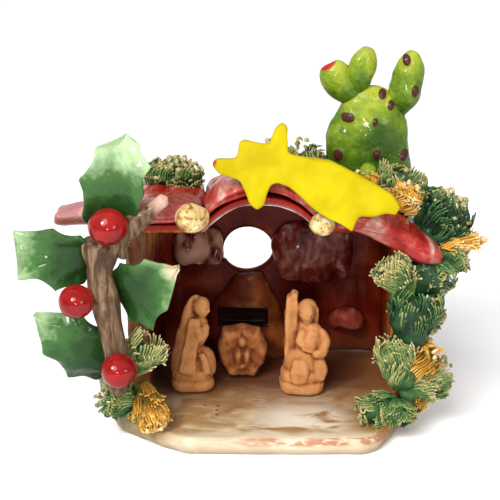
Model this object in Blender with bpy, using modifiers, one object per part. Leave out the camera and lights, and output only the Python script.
"""A hand-made ceramic nativity stable: a small grotto room on an oval slab, dressed with a tiled
roof, a comet star, a prickly pear, a holly sprig and tufts of sieved clay.

Metres, +Z up, +X to the viewer's right, +Y to the back. The origin is on the underside of the base,
below the middle of the floor. Pieces are laid in the order a maker would press them on. Each new
piece is cut back to a small clearance from every piece that is already there.
"""

import math

import bmesh
import bpy
from mathutils import Matrix, Vector
from mathutils.bvhtree import BVHTree

MM = 0.001

# Clearance between pieces that touch on the real object, and a hair more under one that is set flat
GAP = 0.3 * MM
SEAT = 1.1 * GAP

# Facets that turn by less than this are one face after a cut
FLAT_ANGLE = math.radians(1.0)

# A cut that leaves less than this share of a piece is made again more slowly
FAILED_SHARE = 0.05

# Base slab
BASE_THICK = 4.0 * MM
BASE_EDGE = 1.3 * MM
BASE_FRONT = 27.4 * MM
BASE_BACK = 24.0 * MM
BASE_LEFT = 36.5 * MM
BASE_RIGHT = 36.0 * MM

# Room wall, one strip bent round the left, the back and the right
WALL_THICK = 2.8 * MM
WALL_HEIGHT = 42.4 * MM
ROOM_BACK = 19.0 * MM
ROOM_FRONT = -14.0 * MM
ROOM_LEFT_FRONT = -24.4 * MM
ROOM_LEFT_BACK = -19.5 * MM
ROOM_RIGHT = 31.0 * MM
ROOM_CORNER = 4.5 * MM

# Lamp hole in the back wall
HOLE_RADIUS = 6.1 * MM
HOLE_X = -0.5 * MM
HOLE_Z = 30.7 * MM

# Ceiling slab with its arched front lip
VAULT_THICK = 2.2 * MM
VAULT_FRONT = -15.6 * MM
VAULT_BACK_OVERHANG = 1.0 * MM
ARCH_RISE = 6.2 * MM
ARCH_HALF_WIDTH = 12.3 * MM
ARCH_X = 2.4 * MM
ROOF_FALL = 4.6 * MM

# Roof tiles
TILE_EDGE = 1.3 * MM
TILE_CREST = 2.9 * MM
TILE_OVERHANG = 3.0 * MM
TILE_LIFT = 0.7 * MM
FAR_TILE_REACH = 15.0 * MM
FAR_TILE_THICK = 3.9 * MM
FAR_TILE_DEPTH = 11.0 * MM

# Comet star
STAR_THICK = 3.2 * MM
STAR_EDGE = 1.2 * MM
STAR_LEAN = math.radians(12.0)
STAR_FOOT_X = 2.0 * MM
STAR_STANDOFF = 5.2 * MM

# Prickly pear
CACTUS_X = 26.4 * MM
CACTUS_Y = 8.0 * MM
CACTUS_WIDTH = 19.0 * MM
CACTUS_THICK = 10.0 * MM
CACTUS_HEIGHT = 28.1 * MM
PAD_THICK = 5.6 * MM

# Holly sprig
LEAF_THICK = 1.3 * MM
BRANCH_Y = -21.5 * MM
STEM_RADIUS = 2.9 * MM
BERRY_RADIUS = 4.0 * MM

# Foliage strands: how deep the groove between two of them is, and how far their torn tips differ
STRAND_GROOVE = 0.30
STRAND_JAG = 0.18

# Figures
FIGURE_FOOT = 4.9 * MM
FIGURE_GRAIN = 0.55 * MM

# Worked out from the sizes above
FLOOR = BASE_THICK + SEAT
WALL_TOP = FLOOR + WALL_HEIGHT
CEILING = WALL_TOP + SEAT
WALL_RIGHT_OUT = ROOM_RIGHT + WALL_THICK
WALL_LEFT_OUT = ROOM_LEFT_FRONT - WALL_THICK
VAULT_BACK = ROOM_BACK + WALL_THICK + VAULT_BACK_OVERHANG
TILE_FRONT = VAULT_FRONT - TILE_OVERHANG


def clear_scene():
    for obj in list(bpy.data.objects):
        bpy.data.objects.remove(obj, do_unlink=True)


clear_scene()
PARTS = bpy.data.collections.new("nativity_stable")
CUTTERS = bpy.data.collections.new("cutters")
bpy.context.scene.collection.children.link(PARTS)
bpy.context.scene.collection.children.link(CUTTERS)
LAID = []


def clay(name, colour, roughness):
    """A Principled material for one glaze or one bare clay."""
    made = bpy.data.materials.new(name)
    made.use_nodes = True
    shader = made.node_tree.nodes["Principled BSDF"]
    shader.inputs["Base Color"].default_value = (*colour, 1.0)
    shader.inputs["Roughness"].default_value = roughness
    shader.inputs["Metallic"].default_value = 0.0
    return made


BASE_GLAZE = clay("base_glaze", (0.62, 0.45, 0.24), 0.25)
CAVE_GLAZE = clay("cave_glaze", (0.10, 0.025, 0.018), 0.15)
ROCK_GLAZE = clay("rock_glaze", (0.20, 0.10, 0.10), 0.15)
TILE_GLAZE = clay("tile_glaze", (0.75, 0.12, 0.10), 0.2)
PEBBLE_GLAZE = clay("pebble_glaze", (0.60, 0.42, 0.25), 0.2)
STAR_GLAZE = clay("star_glaze", (0.90, 0.75, 0.02), 0.15)
CACTUS_GLAZE = clay("cactus_glaze", (0.25, 0.50, 0.04), 0.2)
FOLIAGE_GLAZE = clay("foliage_glaze", (0.05, 0.16, 0.06), 0.3)
OCHRE_GLAZE = clay("ochre_glaze", (0.65, 0.35, 0.05), 0.3)
BARK_GLAZE = clay("bark_glaze", (0.25, 0.16, 0.10), 0.35)
LEAF_GLAZE = clay("leaf_glaze", (0.06, 0.30, 0.09), 0.12)
BERRY_GLAZE = clay("berry_glaze", (0.70, 0.01, 0.02), 0.1)
TERRACOTTA = clay("terracotta", (0.55, 0.24, 0.09), 0.85)


def new_object(name, bm, glaze, collection=None):
    """Turns a bmesh into a smooth-shaded object with its normals facing out."""
    bmesh.ops.recalc_face_normals(bm, faces=bm.faces[:])
    if bm.calc_volume(signed=True) < 0.0:
        bmesh.ops.reverse_faces(bm, faces=bm.faces[:])
    mesh = bpy.data.meshes.new(name)
    bm.to_mesh(mesh)
    bm.free()
    mesh.shade_smooth()
    mesh.set_sharp_from_angle(angle=math.radians(50.0))
    obj = bpy.data.objects.new(name, mesh)
    if glaze is not None:
        mesh.materials.append(glaze)
    (collection or PARTS).objects.link(obj)
    return obj


def apply_modifiers(obj):
    """Replaces the object's mesh by its evaluated one."""
    graph = bpy.context.evaluated_depsgraph_get()
    graph.update()
    old = obj.data
    obj.data = bpy.data.meshes.new_from_object(obj.evaluated_get(graph))
    obj.data.name = obj.name
    obj.modifiers.clear()
    if old.users == 0:
        bpy.data.meshes.remove(old)


def tree_of(obj):
    bm = bmesh.new()
    bm.from_mesh(obj.data)
    bm.transform(obj.matrix_world)
    tree = BVHTree.FromBMesh(bm)
    bm.free()
    return tree


def box_of(obj):
    points = [obj.matrix_world @ v.co for v in obj.data.vertices]
    low = Vector([min(p[i] for p in points) for i in range(3)])
    high = Vector([max(p[i] for p in points) for i in range(3)])
    return low, high


def boxes_meet(first, second):
    return all(
        first[0][i] - 2 * GAP < second[1][i] and second[0][i] - 2 * GAP < first[1][i]
        for i in range(3)
    )


def grown(obj):
    """A cutter: the piece's own surface moved out by the clearance."""
    bm = bmesh.new()
    bm.from_mesh(obj.data)
    bm.normal_update()
    moves = [v.normal * min(v.calc_shell_factor(), 2.0) * GAP for v in bm.verts]
    for vert, move in zip(bm.verts, moves):
        vert.co += move
    cutter = new_object("grown_" + obj.name, bm, None, CUTTERS)
    cutter.hide_render = True
    cutter.display_type = "WIRE"
    return cutter


def to_triangles(obj):
    """Fixes how each face is split, so that a piece and its cutter have the same surface."""
    bm = bmesh.new()
    bm.from_mesh(obj.data)
    bmesh.ops.triangulate(bm, faces=bm.faces[:])
    bm.to_mesh(obj.data)
    bm.free()


def is_closed(bm):
    return all(len(edge.link_faces) == 2 for edge in bm.edges)


def keep_main_body(obj):
    """Drops the crumbs that a cut leaves and merges the points it leaves almost together."""
    whole = bmesh.new()
    whole.from_mesh(obj.data)
    bmesh.ops.triangulate(whole, faces=whole.faces[:])
    drop_crumbs(whole)
    for reach in (0.05 * MM, 0.02 * MM, 0.005 * MM):
        merged = whole.copy()
        bmesh.ops.remove_doubles(merged, verts=merged.verts[:], dist=reach)
        bmesh.ops.dissolve_degenerate(merged, edges=merged.edges[:], dist=reach)
        bmesh.ops.dissolve_limit(
            merged, angle_limit=FLAT_ANGLE, verts=merged.verts[:], edges=merged.edges[:]
        )
        bmesh.ops.triangulate(merged, faces=merged.faces[:])
        drop_crumbs(merged)
        if is_closed(merged):
            merged.to_mesh(obj.data)
            merged.free()
            break
        merged.free()
    else:
        whole.to_mesh(obj.data)
    whole.free()


def volume_of(island):
    """The volume inside the triangles between these points."""
    faces = {face for vert in island for face in vert.link_faces}
    corners = [[loop.vert.co for loop in face.loops] for face in faces]
    return abs(sum(a.dot(b.cross(c)) for a, b, c in corners)) / 6.0


def drop_crumbs(bm):
    """Leaves only the connected body with the most clay in it."""
    waiting = set(bm.verts)
    islands = []
    while waiting:
        island = set()
        front = [waiting.pop()]
        while front:
            vert = front.pop()
            island.add(vert)
            for edge in vert.link_edges:
                other = edge.other_vert(vert)
                if other in waiting:
                    waiting.remove(other)
                    front.append(other)
        islands.append(island)
    islands.sort(key=volume_of)
    for crumbs in islands[:-1]:
        bmesh.ops.delete(bm, geom=list(crumbs), context="VERTS")


def clay_in(mesh):
    """The volume that a mesh encloses."""
    bm = bmesh.new()
    bm.from_mesh(mesh)
    volume = abs(bm.calc_volume())
    bm.free()
    return volume


def combine(obj, other, operation):
    """Applies one exact Boolean between two mesh objects.

    A cutter that touches itself can leave next to nothing of the piece, so that cut is made once
    more with the slower test for surfaces that cross themselves.
    """
    whole = obj.data.copy()
    for crosses_itself in (False, True):
        step = obj.modifiers.new(operation.lower(), "BOOLEAN")
        step.operation = operation
        step.object = other
        step.solver = "EXACT"
        step.use_self = crosses_itself
        apply_modifiers(obj)
        if clay_in(obj.data) > FAILED_SHARE * clay_in(whole):
            break
        obj.data = whole.copy()


def press_on(obj):
    """Lays a piece: it gives way, by the clearance, to every piece laid before it."""
    to_triangles(obj)
    bpy.context.view_layer.update()
    for other in LAID:
        if not boxes_meet(box_of(obj), box_of(other)):
            continue
        cutter = grown(other)
        bpy.context.view_layer.update()
        if tree_of(cutter).overlap(tree_of(obj)):
            combine(obj, cutter, "DIFFERENCE")
            keep_main_body(obj)
        bpy.data.objects.remove(cutter, do_unlink=True)
    LAID.append(obj)
    return obj


def soften(obj, width, angle=40.0, segments=1):
    bevel = obj.modifiers.new("soft_edge", "BEVEL")
    bevel.width = width
    bevel.segments = segments
    bevel.limit_method = "ANGLE"
    bevel.angle_limit = math.radians(angle)
    apply_modifiers(obj)


def rounded(corners, step_angle=20.0):
    """The outline through corners (x, y, radius), each turned into a tangent arc."""
    points = []
    count = len(corners)
    for i, (x, y, radius) in enumerate(corners):
        here = Vector((x, y))
        before = (Vector(corners[i - 1][:2]) - here).normalized()
        after = (Vector(corners[(i + 1) % count][:2]) - here).normalized()
        half = 0.5 * before.angle(after)
        reach = radius / math.tan(half)
        start = here + before * reach
        centre = here + (before + after).normalized() * (radius / math.sin(half))
        sweep = (start - centre).angle_signed(here + after * reach - centre)
        steps = max(1, math.ceil(abs(sweep) / math.radians(step_angle)))
        for k in range(steps + 1):
            turn = Matrix.Rotation(-sweep * k / steps, 2)
            points.append(centre + turn @ (start - centre))
    return points


def filled_slab(name, outline, thickness, edge, glaze, edge_steps=1):
    """A flat rolled-out slab: a filled 2D curve, extruded, with a round edge inside its outline."""
    curve = bpy.data.curves.new(name, "CURVE")
    curve.dimensions = "2D"
    curve.fill_mode = "BOTH"
    curve.extrude = 0.5 * thickness - edge
    curve.bevel_depth = edge
    curve.offset = -edge
    curve.bevel_resolution = edge_steps
    spline = curve.splines.new("POLY")
    spline.points.add(len(outline) - 1)
    for point, place in zip(spline.points, outline):
        point.co = (place[0], place[1], 0.0, 1.0)
    spline.use_cyclic_u = True
    guide = bpy.data.objects.new(name, curve)
    return curve_to_mesh(guide, name, glaze)


def curve_to_mesh(guide, name, glaze):
    """Turns a curve object into a mesh object with its caps welded on."""
    PARTS.objects.link(guide)
    bpy.context.view_layer.update()
    graph = bpy.context.evaluated_depsgraph_get()
    mesh = bpy.data.meshes.new_from_object(guide.evaluated_get(graph))
    bm = bmesh.new()
    bm.from_mesh(mesh)
    bpy.data.meshes.remove(mesh)
    bpy.data.objects.remove(guide, do_unlink=True)
    bmesh.ops.remove_doubles(bm, verts=bm.verts[:], dist=0.01 * MM)
    return new_object(name, bm, glaze)


def clay_roll(name, path, radii, glaze, resolution=1):
    """A hand-rolled length of clay along a path, with its own radius at each point."""
    curve = bpy.data.curves.new(name, "CURVE")
    curve.dimensions = "3D"
    curve.bevel_depth = MM
    curve.bevel_resolution = resolution
    curve.use_fill_caps = True
    spline = curve.splines.new("POLY")
    spline.points.add(len(path) - 1)
    for point, place, radius in zip(spline.points, path, radii):
        point.co = (*place, 1.0)
        point.radius = radius / MM
    guide = bpy.data.objects.new(name, curve)
    return curve_to_mesh(guide, name, glaze)


def sheet(name, across, along, upper, lower, glaze):
    """A closed lump between two surfaces, upper(u, v) and lower(u, v), with u and v from -1 to 1."""
    bm = bmesh.new()
    bmesh.ops.create_grid(bm, x_segments=across, y_segments=along, size=1.0)
    top = bm.verts[:]
    extruded = bmesh.ops.extrude_face_region(bm, geom=bm.faces[:])
    bottom = [item for item in extruded["geom"] if isinstance(item, bmesh.types.BMVert)]
    for vert in top:
        vert.co = upper(vert.co.x, vert.co.y)
    for vert in bottom:
        vert.co = lower(vert.co.x, vert.co.y)
    return new_object(name, bm, glaze)


def ball(name, segments, rings, place, glaze):
    """A closed lump from a sphere whose points are moved by place(point on the unit sphere)."""
    bm = bmesh.new()
    bmesh.ops.create_uvsphere(bm, u_segments=segments, v_segments=rings, radius=1.0)
    for vert in bm.verts:
        vert.co = place(vert.co.copy())
    return new_object(name, bm, glaze)


def in_ellipsoid(centre, radii, turn=None):
    """A place function for ball(): an ellipsoid, turned by an optional rotation matrix."""

    def place(point):
        scaled = Vector([p * r for p, r in zip(point, radii)])
        return Vector(centre) + (turn @ scaled if turn else scaled)

    return place


def smooth_step(value):
    clipped = min(1.0, max(0.0, value))
    return clipped * clipped * (3.0 - 2.0 * clipped)


def make_base():
    """The floor slab: nearly straight at the front, with round ends and a softened edge."""
    corners = [
        (-0.41 * BASE_LEFT, -BASE_FRONT, 14 * MM),
        (-0.82 * BASE_LEFT, -0.55 * BASE_FRONT, 14 * MM),
        (-BASE_LEFT, 0.33 * BASE_BACK, 10 * MM),
        (-0.90 * BASE_LEFT, BASE_BACK, 8 * MM),
        (0.94 * BASE_RIGHT, BASE_BACK, 8 * MM),
        (BASE_RIGHT, -0.37 * BASE_FRONT, 9 * MM),
        (0.75 * BASE_RIGHT, -BASE_FRONT, 7 * MM),
    ]
    base = filled_slab("base_slab", rounded(corners, 18.0), BASE_THICK, BASE_EDGE, BASE_GLAZE)
    base.location.z = 0.5 * BASE_THICK
    bake_place(base)
    return press_on(base)


def bake_place(obj):
    """Moves an object's place into its mesh."""
    bpy.context.view_layer.update()
    obj.data.transform(obj.matrix_world)
    obj.matrix_world = Matrix.Identity(4)


def wall_path():
    """The inner face of the wall in plan, from the left front edge round to the right one."""
    corners = [
        (ROOM_LEFT_FRONT, ROOM_FRONT, 0.1 * MM),
        (ROOM_LEFT_BACK, ROOM_BACK, ROOM_CORNER),
        (ROOM_RIGHT, ROOM_BACK, ROOM_CORNER),
        (ROOM_RIGHT, ROOM_FRONT, 0.1 * MM),
    ]
    ends = (Vector(corners[0][:2]), Vector(corners[3][:2]))
    arcs = rounded(corners, 22.0)
    bends = [point for point in arcs if point.y > 0.0]
    return [ends[0], *bends, ends[1]]


def make_wall():
    """A strip of clay stood on edge and bent round three sides, with the lamp hole through it."""
    bm = bmesh.new()
    row = [bm.verts.new((x, y, FLOOR)) for x, y in wall_path()]
    edges = [bm.edges.new(pair) for pair in zip(row, row[1:])]
    raised = bmesh.ops.extrude_edge_only(bm, edges=edges)
    lifted = [item for item in raised["geom"] if isinstance(item, bmesh.types.BMVert)]
    bmesh.ops.translate(bm, verts=lifted, vec=(0.0, 0.0, WALL_HEIGHT))
    wall = new_object("grotto_wall", bm, CAVE_GLAZE)
    middle = min(wall.data.polygons, key=lambda face: abs(face.center.x))
    wall_side = 1.0 if middle.normal.y > 0 else -1.0
    thick = wall.modifiers.new("strip", "SOLIDIFY")
    thick.thickness = WALL_THICK
    thick.offset = wall_side
    thick.use_even_offset = True
    apply_modifiers(wall)
    for vert in wall.data.vertices:
        if vert.co.z > FLOOR + 0.5 * WALL_HEIGHT:
            vert.co.z = WALL_TOP - fall(vert.co.y)
    soften(wall, 0.5 * MM, angle=60.0)
    cut_lamp_hole(wall)
    return press_on(wall)


def cut_lamp_hole(wall):
    bm = bmesh.new()
    bmesh.ops.create_cone(
        bm, cap_ends=True, segments=24, radius1=HOLE_RADIUS, radius2=HOLE_RADIUS, depth=4 * WALL_THICK
    )
    hole = new_object("lamp_hole", bm, None, CUTTERS)
    hole.hide_render = True
    hole.display_type = "WIRE"
    hole.location = (HOLE_X, ROOM_BACK + 0.5 * WALL_THICK, HOLE_Z)
    hole.rotation_euler.x = 0.5 * math.pi
    bpy.context.view_layer.update()
    combine(wall, hole, "DIFFERENCE")


def make_mound():
    """The slope of clay behind the crib, with a small dark slot cut into it."""
    height = 21.0 * MM
    foot_left = -13.5 * MM
    foot_right = 11.0 * MM
    peak = 0.5 * MM
    bulge = 4.2 * MM
    rim = 0.9 * MM

    def front(u, v):
        rise = 0.5 * (v + 1.0)
        left = foot_left + (peak - 3.5 * MM - foot_left) * rise**1.5
        right = foot_right + (peak + 2.5 * MM - foot_right) * rise**1.2
        x = 0.5 * (left + right) + 0.5 * (right - left) * u
        depth = rim + bulge * (1.0 - 0.55 * rise) * (1.0 - u * u * u * u)
        return Vector((x, ROOM_BACK - SEAT - depth, FLOOR + height * rise))

    def back(u, v):
        point = front(u, v)
        point.y = ROOM_BACK - SEAT
        return point

    mound = sheet("manger_mound", 7, 5, front, back, CAVE_GLAZE)
    bm = bmesh.new()
    bmesh.ops.create_cube(bm, size=1.0)
    slot = new_object("slot", bm, None, CUTTERS)
    slot.hide_render = True
    slot.display_type = "WIRE"
    slot.scale = (12.0 * MM, 2.4 * MM, 5.6 * MM)
    slot.location = (-1.7 * MM, ROOM_BACK - SEAT - 0.95 * bulge, FLOOR + 10.2 * MM)
    bake_place(slot)
    combine(mound, slot, "DIFFERENCE")
    return press_on(mound)


def make_rock(name, centre_x, centre_z, half_width, half_height, depth, ridges):
    """A rough stone pressed on the back wall, flat behind and ridged in front."""

    def front(u, v):
        swell = (1.0 - abs(u) ** 3.0) * (1.0 - abs(v) ** 3.0)
        ripple = 0.14 * math.cos(ridges * math.pi * u) * swell
        x = centre_x + half_width * u * (1.0 - 0.30 * v * v)
        z = centre_z + half_height * v * (1.0 - 0.25 * u * u)
        y = ROOM_BACK - SEAT - 0.7 * MM - depth * (0.8 * swell**0.5 + ripple)
        return Vector((x, y, z))

    def back(u, v):
        point = front(u, v)
        point.y = ROOM_BACK - SEAT
        return point

    return press_on(sheet(name, 7, 4, front, back, ROCK_GLAZE))


def arch(x):
    """The rise of the ceiling above the wall's top, across the front lip."""
    share = min(1.0, abs(x - ARCH_X) / ARCH_HALF_WIDTH)
    return ARCH_RISE * (1.0 - share**2.5)


def fall(y):
    """How far the roof has dropped at depth y, from nothing at its front lip."""
    return ROOF_FALL * (y - VAULT_FRONT) / (VAULT_BACK - VAULT_FRONT)


def ceiling(x, y):
    fade = 1.0 - 0.8 * smooth_step((y - VAULT_FRONT) / (VAULT_BACK - VAULT_FRONT))
    return CEILING + arch(x) * fade - fall(y)


def roof(x, y):
    return ceiling(x, y) + VAULT_THICK


def make_vault():
    """The ceiling slab: flat over the walls, arched over the opening."""
    left = WALL_LEFT_OUT - 0.3 * MM
    right = WALL_RIGHT_OUT + 0.3 * MM

    def plan(u, v):
        x = 0.5 * (left + right) + 0.5 * (right - left) * u
        y = 0.5 * (VAULT_FRONT + VAULT_BACK) + 0.5 * (VAULT_BACK - VAULT_FRONT) * v
        return x, y

    def upper(u, v):
        x, y = plan(u, v)
        return Vector((x, y, roof(x, y)))

    def lower(u, v):
        x, y = plan(u, v)
        return Vector((x, y, ceiling(x, y)))

    return press_on(sheet("vault", 18, 3, upper, lower, CAVE_GLAZE))


def make_roof_tile(name, left, right, back, crest, swing):
    """A curved clay tile that runs from the front edge to the back over the ceiling slab."""

    def plan(u, v):
        centre = 0.5 * (left + right) + swing * v
        x = centre + (0.5 * (right - left) - 0.5 * SEAT) * u
        y = 0.5 * (TILE_FRONT + back) + 0.5 * (back - TILE_FRONT) * v
        y += 1.6 * MM * u * u * (1.0 if v < 0.0 else 0.0) * abs(v) ** 3.0
        return x, y

    def lower(u, v):
        x, y = plan(u, v)
        return Vector((x, y, roof(x, max(y, VAULT_FRONT)) + TILE_LIFT))

    def upper(u, v):
        point = lower(u, v)
        hump = math.sqrt(max(0.0, 1.0 - u * u)) * (1.0 - 0.35 * abs(v) ** 6.0)
        point.z += TILE_EDGE + crest * hump
        return point

    return press_on(sheet(name, 6, 6, upper, lower, TILE_GLAZE))


def make_far_left_tile():
    """The tile that sticks out past the left wall, cut square at its free end."""
    free_end = WALL_LEFT_OUT - FAR_TILE_REACH
    inner_end = WALL_LEFT_OUT + 4.0 * MM
    front = ROOM_FRONT + 1.0 * MM
    back = front + FAR_TILE_DEPTH

    def lower(u, v):
        x = 0.5 * (free_end + inner_end) + 0.5 * (inner_end - free_end) * u
        y = 0.5 * (front + back) + 0.5 * (back - front) * v + 0.12 * (x - free_end)
        z = CEILING + 0.5 * MM + 0.6 * MM * v * v - fall(y)
        return Vector((x, y, z))

    def upper(u, v):
        point = lower(u, v)
        point.z += FAR_TILE_THICK - 1.4 * MM * abs(v) ** 4.0
        return point

    return press_on(sheet("tile_far_left", 4, 4, upper, lower, TILE_GLAZE))


def make_right_tile():
    """The big tile that slides down over the right end of the roof, thick in its middle."""
    start = ARCH_X + ARCH_HALF_WIDTH + 3.0 * MM
    end = WALL_RIGHT_OUT + 8.0 * MM
    front = TILE_FRONT - 1.0 * MM
    back = 12.0 * MM
    drop = 8.8 * MM

    def plan(u, v):
        x = 0.5 * (start + end) + 0.5 * (end - start) * u
        narrow = 1.0 - 0.45 * smooth_step(0.5 * (u + 1.0))
        y = front + (back - front) * 0.5 * (v + 1.0) * narrow + 3.2 * MM * smooth_step(0.5 * (u + 1.0))
        return x, y

    def lower(u, v):
        x, y = plan(u, v)
        slide = drop * smooth_step((x - start) / (end - start))
        return Vector((x, y, CEILING + 1.2 * MM - slide - fall(y)))

    def upper(u, v):
        point = lower(u, v)
        body = math.sqrt(max(0.0, 1.0 - (u * 0.96) ** 2)) * (1.0 - 0.30 * abs(v) ** 4.0)
        point.z += 1.0 * MM + 7.1 * MM * body
        return point

    return press_on(sheet("tile_right", 7, 4, upper, lower, TILE_GLAZE))


def star_outline():
    """The comet in its own plane: five blunt points and a tail that widens to a torn end."""
    corners = [
        (-9.6, 10.7, 0.9),
        (-4.4, 11.3, 0.8),
        (-4.2, 15.2, 0.9),
        (1.3, 14.4, 1.5),
        (4.1, 18.3, 0.7),
        (6.0, 17.4, 0.7),
        (6.1, 12.1, 1.2),
        (12.0, 11.2, 5.0),
        (21.5, 7.0, 8.0),
        (28.9, 2.3, 1.0),
        (29.4, -1.2, 0.9),
        (23.4, 0.6, 0.9),
        (22.6, -2.4, 1.0),
        (19.2, -4.4, 1.0),
        (16.6, -1.8, 1.0),
        (12.8, 0.6, 3.0),
        (9.0, 4.2, 4.0),
        (3.2, 6.2, 1.2),
        (1.3, 0.0, 1.0),
        (-1.2, 0.0, 1.0),
        (-3.0, 6.0, 1.2),
        (-9.0, 6.9, 1.1),
    ]
    return rounded([(x * MM, y * MM, r * MM) for x, y, r in corners], 62.0)


def make_star():
    star = filled_slab("comet_star", star_outline(), STAR_THICK, STAR_EDGE, STAR_GLAZE, 0)
    star.rotation_euler.x = 0.5 * math.pi - STAR_LEAN
    star.location = (STAR_FOOT_X, VAULT_FRONT - STAR_STANDOFF, CEILING + 7.5 * MM)
    bake_place(star)
    return press_on(star)


def make_pebble(name, centre, radii):
    return press_on(ball(name, 9, 6, in_ellipsoid(centre, radii), PEBBLE_GLAZE))


def add_thorn_dots(pad, dots, front_of):
    """Presses brown dots into a pad: each is a small flat lump joined to it."""
    for i, (x, z, half_width, half_height) in enumerate(dots):
        centre = (x, front_of(x, z), z)
        lump = ball(f"dot_{i}", 6, 4, in_ellipsoid(centre, (half_width, 0.9 * MM, half_height)), None)
        lump.hide_render = True
        combine(pad, lump, "UNION")
        bpy.data.objects.remove(lump, do_unlink=True)


def surface_front(obj):
    """A function that gives the frontmost y of a piece at (x, z)."""
    tree = tree_of(obj)

    def front_of(x, z):
        hit = tree.ray_cast(Vector((x, -0.1, z)), Vector((0.0, 1.0, 0.0)))[0]
        return hit.y if hit else 0.0

    return front_of


def make_cactus():
    """The prickly pear: a broad body that carries three pads and a small bud."""
    foot = roof(CACTUS_X, CACTUS_Y) - 1.0 * MM
    middle = foot + 0.5 * CACTUS_HEIGHT

    def body_place(point):
        ring = math.sqrt(max(1e-6, 1.0 - point.z * point.z))
        barrel = (1.0 - point.z**4) ** 0.25 / ring if -0.98 < point.z < 0.0 else 1.0
        swell = min(barrel, 2.0) * (1.0 - 0.06 * point.z)
        x = CACTUS_X + 0.5 * CACTUS_WIDTH * point.x * swell
        y = CACTUS_Y + 0.5 * CACTUS_THICK * point.y * swell
        return Vector((x, y, middle + 0.5 * CACTUS_HEIGHT * point.z))

    body = ball("cactus_body", 13, 8, body_place, CACTUS_GLAZE)
    front_of = surface_front(body)
    dots = [
        (-4.6, 7.3, 1.5, 1.2),
        (1.2, 6.5, 0.6, 1.0),
        (2.8, 12.0, 0.8, 1.0),
        (4.6, 9.9, 0.8, 1.2),
        (-6.6, -1.0, 1.2, 1.6),
        (1.7, -0.6, 1.0, 1.4),
        (7.9, -1.4, 1.2, 1.6),
    ]
    placed = [(CACTUS_X + x * MM, middle + z * MM, w * MM, h * MM) for x, z, w, h in dots]
    add_thorn_dots(body, placed, front_of)
    press_on(body)
    top = middle + 0.5 * CACTUS_HEIGHT
    pads = [
        ("cactus_pad_left", (-5.8, 0.4), 3.5, 6.6, -36.0, 0.74, []),
        ("cactus_pad_middle", (-1.8, 3.3), 3.0, 6.4, 14.0, 0.9, []),
        ("cactus_pad_right", (8.0, 0.0), 3.6, 8.2, 13.0, 1.0, [(0.0, 5.9, 0.9, 1.2), (1.8, -0.6, 0.9, 1.5)]),
    ]
    for name, (dx, dz), half_width, half_height, tilt, flat_top, dots in pads:
        centre = Vector((CACTUS_X + dx * MM, CACTUS_Y, top + dz * MM))
        turn = Matrix.Rotation(math.radians(tilt), 3, "Y")

        def pad_place(point, centre=centre, turn=turn, w=half_width, h=half_height, flat=flat_top):
            egg = 1.0 + 0.12 * point.z
            up = h * MM * min(point.z, flat)
            shaped = Vector((w * MM * point.x * egg, 0.5 * PAD_THICK * point.y * egg, up))
            return centre + turn @ shaped

        pad = ball(name, 10, 8, pad_place, CACTUS_GLAZE)
        placed = [(centre.x + x * MM, centre.z + z * MM, w * MM, h * MM) for x, z, w, h in dots]
        add_thorn_dots(pad, placed, surface_front(pad))
        press_on(pad)
    bud_centre = (CACTUS_X - 0.2 * MM, CACTUS_Y - 0.5 * CACTUS_THICK, middle - 5.4 * MM)
    bud_place = in_ellipsoid(bud_centre, (2.0 * MM, 2.6 * MM, 2.6 * MM))
    press_on(ball("cactus_bud", 10, 7, bud_place, CACTUS_GLAZE))


def make_branch():
    """The forked twig: one stem that leans along the wall's edge, a long right arm, a short left one."""
    stem = [
        (-28.2, -1.5, 12.0, 0.80),
        (-28.5, -0.5, 22.0, 0.82),
        (-29.9, 0.0, 28.0, 0.92),
        (-31.1, 0.0, 35.0, 1.02),
        (-31.8, 0.0, 40.5, 1.05),
        (-30.4, 0.0, 45.0, 0.92),
        (-26.5, 0.2, 48.8, 0.80),
        (-21.8, 0.6, 52.8, 0.72),
        (-17.0, 1.0, 56.8, 0.52),
    ]
    stub = [
        (-31.6, 0.0, 41.0, 0.85),
        (-33.0, 0.0, 45.0, 0.74),
        (-33.6, 0.0, 48.4, 0.60),
    ]
    spur = [
        (-27.6, 0.2, 46.9, 0.55),
        (-25.8, 1.0, 43.4, 0.45),
    ]
    rolls = []
    for i, points in enumerate((stem, stub, spur)):
        path = [Vector((x * MM, BRANCH_Y + y * MM, z * MM)) for x, y, z, _ in points]
        radii = [share * STEM_RADIUS for *_, share in points]
        rolls.append(clay_roll(f"roll_{i}", path, radii, BARK_GLAZE))
    branch = rolls[0]
    for other in rolls[1:]:
        combine(branch, other, "UNION")
        bpy.data.objects.remove(other, do_unlink=True)
    branch.name = "branch"
    smooth = branch.modifiers.new("smooth", "SMOOTH")
    smooth.factor = 0.4
    smooth.iterations = 1
    apply_modifiers(branch)
    return press_on(branch)


def edge_reach(t, spines):
    """How far a leaf's edge lies from its midrib at t: spines (t, reach) with scoops between them."""
    marks = [*spines, (1.0, 0.3)]
    if t <= marks[0][0]:
        return marks[0][1]
    for (t0, r0), (t1, r1) in zip(marks, marks[1:]):
        if t <= t1:
            share = (t - t0) / (t1 - t0)
            scoop = 0.30 * min(r0, max(r1, 1.0)) * math.sin(math.pi * share)
            return r0 + (r1 - r0) * share - scoop
    return marks[-1][1]


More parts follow.
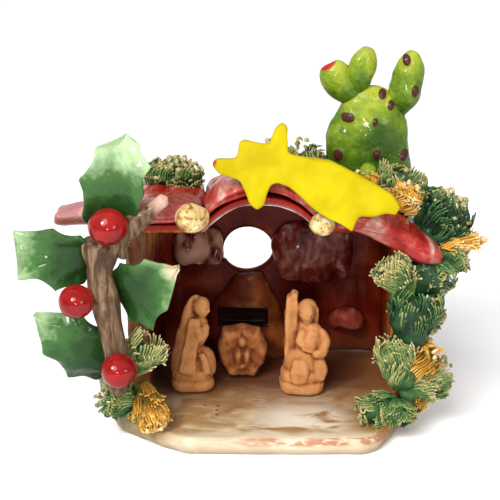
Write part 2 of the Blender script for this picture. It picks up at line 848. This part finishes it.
def make_leaf(name, foot, tip, depths, left, right, cup):
    """A holly leaf: a spiny outline round a midrib, cupped across and bowed along."""
    start = Vector((foot[0] * MM, BRANCH_Y + depths[0] * MM, foot[1] * MM))
    end = Vector((tip[0] * MM, BRANCH_Y + depths[1] * MM, tip[1] * MM))
    along = (end - start).normalized()
    facing = Vector((0.0, -1.0, 0.0))
    side = along.cross(facing).normalized()
    facing = side.cross(along).normalized()

    def middle(u, v):
        t = 0.5 * (v + 1.0)
        reach = edge_reach(t, left if u < 0 else right) * MM
        ridge = start.lerp(end, t) + facing * (1.6 * MM * math.sin(math.pi * t))
        across = side * (u * reach)
        return ridge + across + facing * (cup * MM * u * u + 0.35 * MM * math.cos(5.0 * u + 6.0 * t))

    def upper(u, v):
        return middle(u, v) + facing * (0.5 * LEAF_THICK)

    def lower(u, v):
        return middle(u, v) - facing * (0.5 * LEAF_THICK)

    return press_on(sheet(name, 4, 11, upper, lower, LEAF_GLAZE))


def make_leaves():
    make_leaf("leaf_top", (-28.6, 49.6), (-26.3, 71.2), (2.6, 1.0), [(0.0, 7.0), (0.50, 7.8), (0.84, 5.6)],
              [(0.0, 3.2), (0.44, 4.6), (0.74, 6.0), (0.93, 3.2)], 1.4)
    make_leaf("leaf_upper_left", (-32.8, 42.2), (-49.3, 49.8), (2.2, -0.6),
              [(0.0, 5.0), (0.26, 9.4), (0.76, 9.4)], [(0.0, 5.0), (0.30, 4.4), (0.62, 2.8)], 1.2)
    make_leaf("leaf_lower_left", (-30.2, 17.4), (-46.0, 30.6), (2.2, -0.4),
              [(0.0, 3.8), (0.28, 7.8), (0.68, 5.8)], [(0.0, 3.8), (0.25, 4.6), (0.64, 6.4)], -1.2)
    make_leaf("leaf_inner", (-28.6, 34.6), (-14.9, 41.2), (2.6, 1.4),
              [(0.0, 4.6), (0.30, 5.0), (0.66, 5.5)], [(0.0, 7.0), (0.26, 10.4), (0.60, 6.6)], 1.2)


def make_berry(name, x, depth, z, share):
    centre = Vector((x * MM, BRANCH_Y + depth * MM, z * MM))
    radius = share * BERRY_RADIUS
    place = in_ellipsoid(centre, (radius, radius, 0.95 * radius))
    return press_on(ball(name, 12, 8, place, BERRY_GLAZE))


def make_tuft(name, root, tip, width, depth, strands, root_share, glaze):
    """A bunch of sieved-clay strands: a fluted fan that spreads from its root and ends in torn tips.

    Each ridge round the fan is one strand, and the groove beside it is where two strands meet.
    """
    axis = tip - root
    length = axis.length
    axis.normalize()
    facing = Vector((0.0, -1.0, 0.0)) if abs(axis.y) < 0.9 else Vector((1.0, 0.0, 0.0))
    wide = axis.cross(facing).normalized()
    flat = wide.cross(axis).normalized()
    sides = 2 * strands
    bm = bmesh.new()
    bmesh.ops.create_cone(
        bm, cap_ends=True, cap_tris=True, segments=sides, radius1=1.0, radius2=1.0, depth=1.0
    )
    rails = [e for e in bm.edges if abs(e.verts[0].co.z - e.verts[1].co.z) > 0.5]
    bmesh.ops.subdivide_edges(bm, edges=rails, cuts=1)
    for vert in bm.verts:
        along = vert.co.z + 0.5
        reach = vert.co.xy.length
        angle = math.atan2(vert.co.y, vert.co.x)
        index = round(angle / (2.0 * math.pi / sides)) % sides
        ridge = index % 2 == 0
        groove = 1.0 if ridge else 1.0 - STRAND_GROOVE * (0.4 + 0.6 * along)
        spread = root_share + (1.0 - root_share) * smooth_step(1.25 * along)
        if along > 0.9 and reach > 0.5:
            ragged = 0.55 * math.sin(2.4 * index + 9.0 * width / MM)
            along += STRAND_JAG * (ragged + (0.6 if ridge else -0.6))
        elif along > 0.9:
            along -= 0.5 * STRAND_JAG
        side = 0.5 * width * spread * groove * reach * math.cos(angle)
        front = 0.5 * depth * spread * groove * reach * math.sin(angle)
        vert.co = root + axis * (length * along) + wide * side + flat * front
    return press_on(new_object(name, bm, glaze))


def make_foliage():
    """All the tufts, each placed from the wall's edge, the roof or the base that carries it.

    A row gives the tuft's carrier, its root and tip from there, its width and depth, how many
    strands it has and the share of its width at the root, all lengths in millimetres.
    """
    edge = Vector((WALL_RIGHT_OUT, ROOM_FRONT, BASE_THICK))
    left = Vector((WALL_LEFT_OUT, ROOM_FRONT, BASE_THICK))
    roof_end = Vector((WALL_RIGHT_OUT, ROOM_FRONT, WALL_TOP))
    crest = Vector((ARCH_X, CACTUS_Y, roof(ARCH_X, CACTUS_Y)))
    green = FOLIAGE_GLAZE
    ochre = OCHRE_GLAZE
    tufts = [
        ("tuft_right_smooth", edge, (0.6, -1.4, 17.5), (3.0, -2.8, 31.5), 12.4, 6.8, 7, 0.7, green),
        ("tuft_right_big", edge, (-0.4, -0.4, 4.6), (10.6, 3.4, 10.0), 12.5, 9.0, 10, 0.6, green),
        ("tuft_right_roll", roof_end, (0.8, 1.0, -11.7), (11.2, 2.4, -9.1), 9.4, 8.0, 8, 0.7, green),
        ("tuft_right_curly", edge, (0.8, 2.2, 16.4), (6.8, 1.6, 26.4), 9.4, 8.0, 7, 0.6, green),
        ("tuft_right_rings", edge, (0.8, -0.6, 11.0), (7.2, -1.2, 16.6), 7.6, 6.0, 6, 0.7, ochre),
        ("tuft_right_left", edge, (-0.4, -1.8, 6.8), (-2.8, -3.6, 20.4), 9.0, 5.4, 7, 0.8, green),
        ("tuft_right_hanging", roof_end, (0.8, -1.2, -14.1), (-5.0, -3.8, -4.3), 8.6, 4.4, 7, 0.5, green),
        ("tuft_foot_fan", edge, (-1.8, -2.6, 4.8), (-9.8, -7.8, 1.2), 9.0, 5.4, 8, 0.6, green),
        ("tuft_foot_ochre", edge, (0.4, 0.6, 3.4), (4.8, 0.0, 0.2), 8.0, 6.6, 6, 0.7, ochre),
        ("tuft_foot_down", edge, (-1.2, -3.4, 5.0), (-1.0, -6.6, -0.2), 7.0, 5.4, 6, 0.8, green),
        ("tuft_roof_green", roof_end, (3.2, 4.6, -3.6), (12.0, 8.0, 5.2), 14.0, 10.0, 10, 0.6, green),
        ("tuft_roof_orange", roof_end, (-1.2, 7.0, 2.4), (2.6, 8.6, 7.6), 9.0, 6.6, 7, 0.8, ochre),
        ("tuft_roof_tail", roof_end, (7.6, 4.0, -4.4), (16.4, 4.0, -3.0), 3.8, 3.8, 5, 0.9, ochre),
        ("tuft_roof_low", roof_end, (8.6, 3.6, -9.2), (14.0, 4.0, -6.2), 5.0, 4.8, 5, 0.7, green),
        ("tuft_cactus_left", roof_end, (-7.2, 14.4, 0.8), (-9.2, 12.4, 9.8), 8.6, 5.4, 6, 0.7, ochre),
        ("tuft_cactus_right", roof_end, (-2.6, 14.0, 0.0), (0.6, 12.6, 11.4), 12.0, 6.8, 8, 0.6, green),
        ("tuft_star_left", crest, (2.2, 0.0, 0.8), (1.8, -0.6, 8.6), 5.8, 5.0, 6, 0.7, green),
        ("tuft_star_right", crest, (9.8, 0.0, -1.6), (9.6, -0.6, 7.0), 9.0, 5.0, 7, 0.7, green),
        ("tuft_roof_left", crest, (-20.2, 2.0, -3.4), (-19.6, 1.4, 7.0), 13.6, 8.6, 10, 0.8, green),
        ("tuft_left_fan", left, (1.0, -3.2, 10.8), (6.6, -6.0, 20.6), 9.0, 5.0, 7, 0.4, green),
        ("tuft_left_ochre", left, (3.6, -4.8, 9.6), (6.8, -10.0, 0.4), 8.4, 5.6, 7, 0.5, ochre),
        ("tuft_left_green", left, (3.6, -5.0, 4.8), (-6.0, -5.6, 6.6), 9.4, 7.0, 8, 0.6, green),
    ]
    for name, carrier, root, tip, width, depth, strands, share, glaze in tufts:
        start = carrier + Vector(root) * MM
        end = carrier + Vector(tip) * MM
        make_tuft(name, start, end, width * MM, depth * MM, strands, share, glaze)


def clay_figure(name, foot, lumps, grain, triangles):
    """A small pressed figure: lumps of clay worked into one skin.

    Each lump is (centre, radii, tilt about Y in degrees), in millimetres from the figure's foot.
    """
    bm = bmesh.new()
    for centre, radii, tilt in lumps:
        turn = Matrix.Rotation(math.radians(tilt), 4, "Y")
        shape = Matrix.Diagonal([*(r * MM for r in radii), 1.0])
        place = Matrix.Translation(Vector(foot) + Vector(centre) * MM)
        bmesh.ops.create_uvsphere(bm, u_segments=20, v_segments=12, radius=1.0, matrix=place @ turn @ shape)
    figure = new_object(name, bm, TERRACOTTA)
    skin = figure.modifiers.new("skin", "REMESH")
    skin.mode = "VOXEL"
    skin.voxel_size = grain
    skin.use_smooth_shade = True
    smooth = figure.modifiers.new("smooth", "SMOOTH")
    smooth.factor = 0.5
    smooth.iterations = 2
    apply_modifiers(figure)
    fewer = figure.modifiers.new("fewer", "DECIMATE")
    figure.data.calc_loop_triangles()
    fewer.ratio = min(1.0, triangles / len(figure.data.loop_triangles))
    apply_modifiers(figure)
    stand_flat(figure, foot[2])
    return press_on(figure)


def stand_flat(figure, level):
    """Flattens what would reach below the level that a figure stands on."""
    for vert in figure.data.vertices:
        if vert.co.z < level + 0.45 * MM:
            vert.co.z = level


def make_figures():
    kneeling = [
        ((-0.3, 0.0, 1.5), (FIGURE_FOOT / MM, 4.4, 2.4), 0.0),
        ((-0.5, 0.2, 5.6), (4.8, 4.0, 5.4), 0.0),
        ((-1.5, 0.6, 9.6), (3.2, 3.0, 7.0), 10.0),
        ((2.8, -0.2, 6.2), (2.6, 2.8, 4.2), -10.0),
        ((0.4, 0.2, 13.0), (2.7, 2.3, 5.2), 14.0),
        ((2.5, -0.6, 14.8), (1.3, 1.3, 2.4), 30.0),
        ((1.2, 0.1, 17.4), (1.9, 1.9, 3.2), 12.0),
        ((1.9, 0.0, 20.2), (2.2, 2.3, 2.8), 0.0),
    ]
    clay_figure("figure_kneeling", (-13.0 * MM, -1.0 * MM, FLOOR), kneeling, FIGURE_GRAIN, 420)
    standing = [
        ((-0.2, 0.0, 1.4), (1.08 * FIGURE_FOOT / MM, 4.8, 2.4), 0.0),
        ((0.0, 0.2, 5.2), (4.8, 3.9, 5.4), 0.0),
        ((-0.1, -2.3, 4.6), (2.6, 2.2, 4.0), 0.0),
        ((3.8, -0.8, 5.8), (1.8, 2.4, 3.6), 0.0),
        ((2.1, -0.6, 12.4), (3.2, 2.7, 4.2), 0.0),
        ((0.5, 0.6, 11.6), (3.2, 2.8, 6.0), 0.0),
        ((-2.9, 0.7, 12.4), (1.4, 2.3, 11.4), 1.0),
        ((0.6, 0.0, 18.9), (2.1, 2.2, 2.9), 0.0),
    ]
    clay_figure("figure_standing", (12.2 * MM, -2.0 * MM, FLOOR), standing, FIGURE_GRAIN, 440)
    manger = [
        ((0.0, 0.0, 2.2), (3.7, 3.0, 2.8), 0.0),
        ((0.0, 0.2, 5.8), (5.6, 4.1, 4.6), 0.0),
        ((-3.4, 0.8, 8.4), (2.2, 2.8, 3.2), 0.0),
        ((3.4, 0.8, 8.4), (2.2, 2.8, 3.2), 0.0),
        ((-0.2, 2.4, 9.4), (4.2, 1.8, 3.0), 0.0),
        ((0.0, -1.4, 7.0), (1.5, 2.8, 2.0), 0.0),
    ]
    clay_figure("manger_child", (-1.6 * MM, 5.6 * MM, FLOOR), manger, FIGURE_GRAIN, 340)


def build():
    make_base()
    make_wall()
    make_mound()
    make_rock("rock_right", 15.4 * MM, FLOOR + 26.2 * MM, 9.2 * MM, 7.8 * MM, 2.8 * MM, 4)
    make_rock("rock_left", -12.6 * MM, FLOOR + 27.0 * MM, 5.4 * MM, 4.6 * MM, 2.2 * MM, 2)
    make_rock("rock_ledge", 23.0 * MM, FLOOR + 9.0 * MM, 3.8 * MM, 2.8 * MM, 3.2 * MM, 1)
    make_vault()
    make_roof_tile("tile_left", WALL_LEFT_OUT, -10.2 * MM, 0.94 * VAULT_BACK, 0.8 * TILE_CREST, 0.0)
    make_roof_tile("tile_centre", -10.2 * MM, 2.6 * MM, VAULT_BACK, TILE_CREST, 0.0)
    make_roof_tile("tile_middle", 2.6 * MM, 15.6 * MM, 0.96 * VAULT_BACK, TILE_CREST, 0.0)
    make_far_left_tile()
    make_right_tile()
    make_pebble("stone_left", (-12.3 * MM, TILE_FRONT, CEILING + 4.4 * MM), (3.9 * MM, 3.0 * MM, 3.0 * MM))
    make_pebble("stone_right", (15.3 * MM, TILE_FRONT, CEILING + 2.9 * MM), (2.8 * MM, 2.4 * MM, 2.2 * MM))
    make_star()
    make_cactus()
    make_branch()
    make_leaves()
    make_berry("berry_top", -29.4, -3.0, 51.6, 1.03)
    make_berry("berry_middle", -36.4, -3.8, 35.2, 0.94)
    make_berry("berry_low", -27.8, -4.6, 19.8, 0.97)
    make_foliage()
    make_figures()


build()
